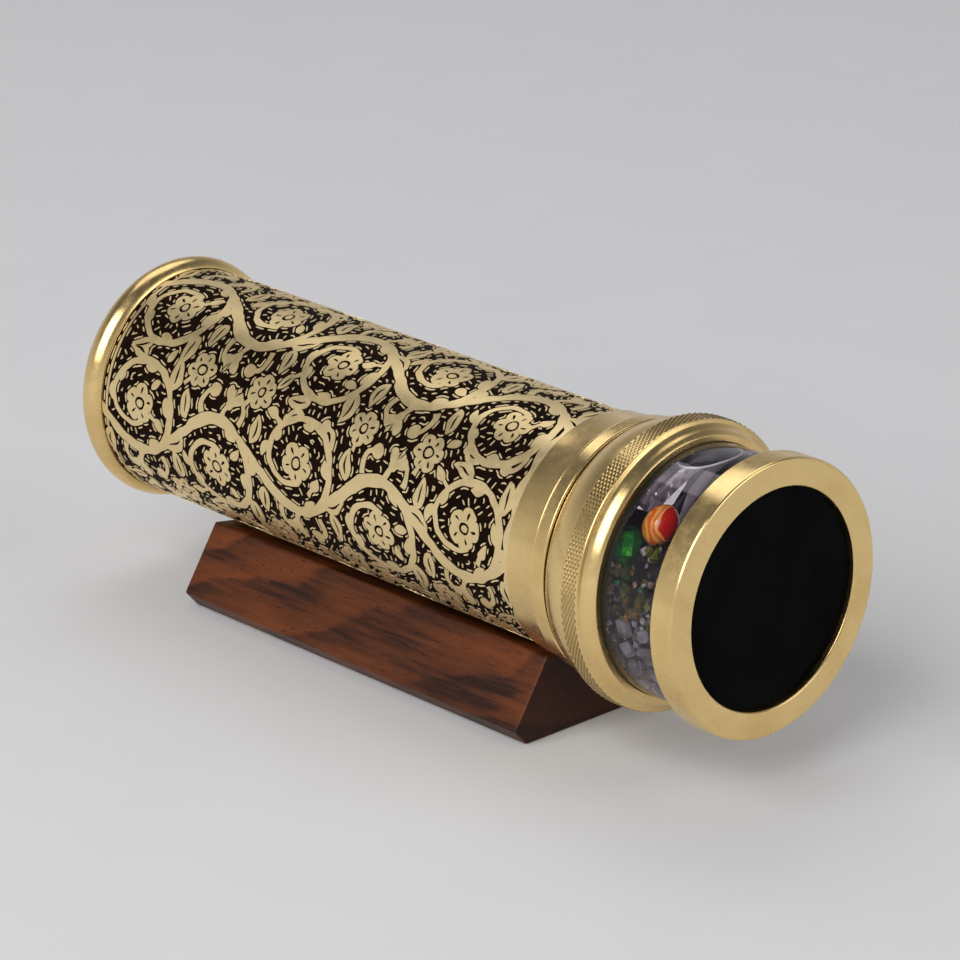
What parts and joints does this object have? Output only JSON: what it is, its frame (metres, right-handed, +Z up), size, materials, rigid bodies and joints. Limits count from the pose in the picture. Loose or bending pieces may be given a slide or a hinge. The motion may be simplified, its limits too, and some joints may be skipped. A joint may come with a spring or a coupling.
{
  "type": "kaleidoscope",
  "caption": "Brass kaleidoscope with a knurled ring that turns a sealed, oil-filled clear cell in front of a mirror prism, lying on a grooved hardwood cradle.",
  "frame": {"origin": "on the table under the middle of the object's length, on its plane of symmetry", "axes": "+X along the tube towards the cell and bezel, +Y to the side, +Z up from the table"},
  "size_m": [0.1854, 0.062, 0.0726],
  "materials": {
    "rosewood": "oiled, satin, with figured grain",
    "etched_brass": "satin brass ornament on an etched, blackened ground",
    "polished_brass": "fine satin polish",
    "cell_glass": "clear, polished",
    "window_glass": "clear, polished",
    "mirror_glass": "front-surface mirror",
    "black_card": "matt black",
    "black_foam": "matt closed-cell foam",
    "black_plastic": "matt",
    "plug_nylon": "natural nylon",
    "gasket_rubber": "matt",
    "black_disc": "deep black with a slight gloss",
    "green_glass": "faceted and polished",
    "striped_glass": "opaque glass with cream stripes",
    "rod_glass": "clear, faintly pink",
    "twist_glass": "dark amber and green",
    "seed_glass": "dark green, polished",
    "chip_glass": "crushed, smoky clear"
  },
  "bodies": {
    "stand": {"stand_block": "rosewood"},
    "scope": {"body_tube": "etched_brass", "tube_collar": "polished_brass", "thrust_washer": "black_plastic", "retaining_ring": "polished_brass", "tube_window": "window_glass", "window_clip": "black_plastic", "mirror_left": "mirror_glass", "mirror_right": "mirror_glass", "mirror_base": "mirror_glass", "mirror_wrap": "black_card", "mirror_ring_front": "black_foam", "mirror_ring_rear": "black_foam", "eyepiece_cap": "polished_brass", "eye_lens": "window_glass", "lens_retainer": "black_plastic"},
    "object_cell": {"turning_ring": "polished_brass", "cell_wall": "cell_glass", "fill_plug": "plug_nylon", "rear_window": "window_glass", "rear_seal": "gasket_rubber", "end_disc": "black_disc", "front_seal": "gasket_rubber", "front_bezel": "polished_brass"},
    "charge": {"green_bead": "green_glass", "striped_bead": "striped_glass", "clear_rods": "rod_glass", "glass_twists": "twist_glass", "seed_beads": "seed_glass", "glass_chips": "chip_glass"}
  },
  "joints": [
    {"name": "lift_off", "type": "slide", "parent": "stand", "child": "scope", "axis": [0, 0, 1], "range_m": [0, 0.06]},
    {"name": "cell_turn", "type": "hinge", "parent": "scope", "child": "object_cell", "pos_m": [0.0585, 0, 0.0416], "axis": [1, 0, 0], "continuous": true},
    {"name": "charge_tumble", "type": "hinge", "parent": "object_cell", "child": "charge", "pos_m": [0.0774, 0, 0.0416], "axis": [1, 0, 0], "continuous": true}
  ]
}
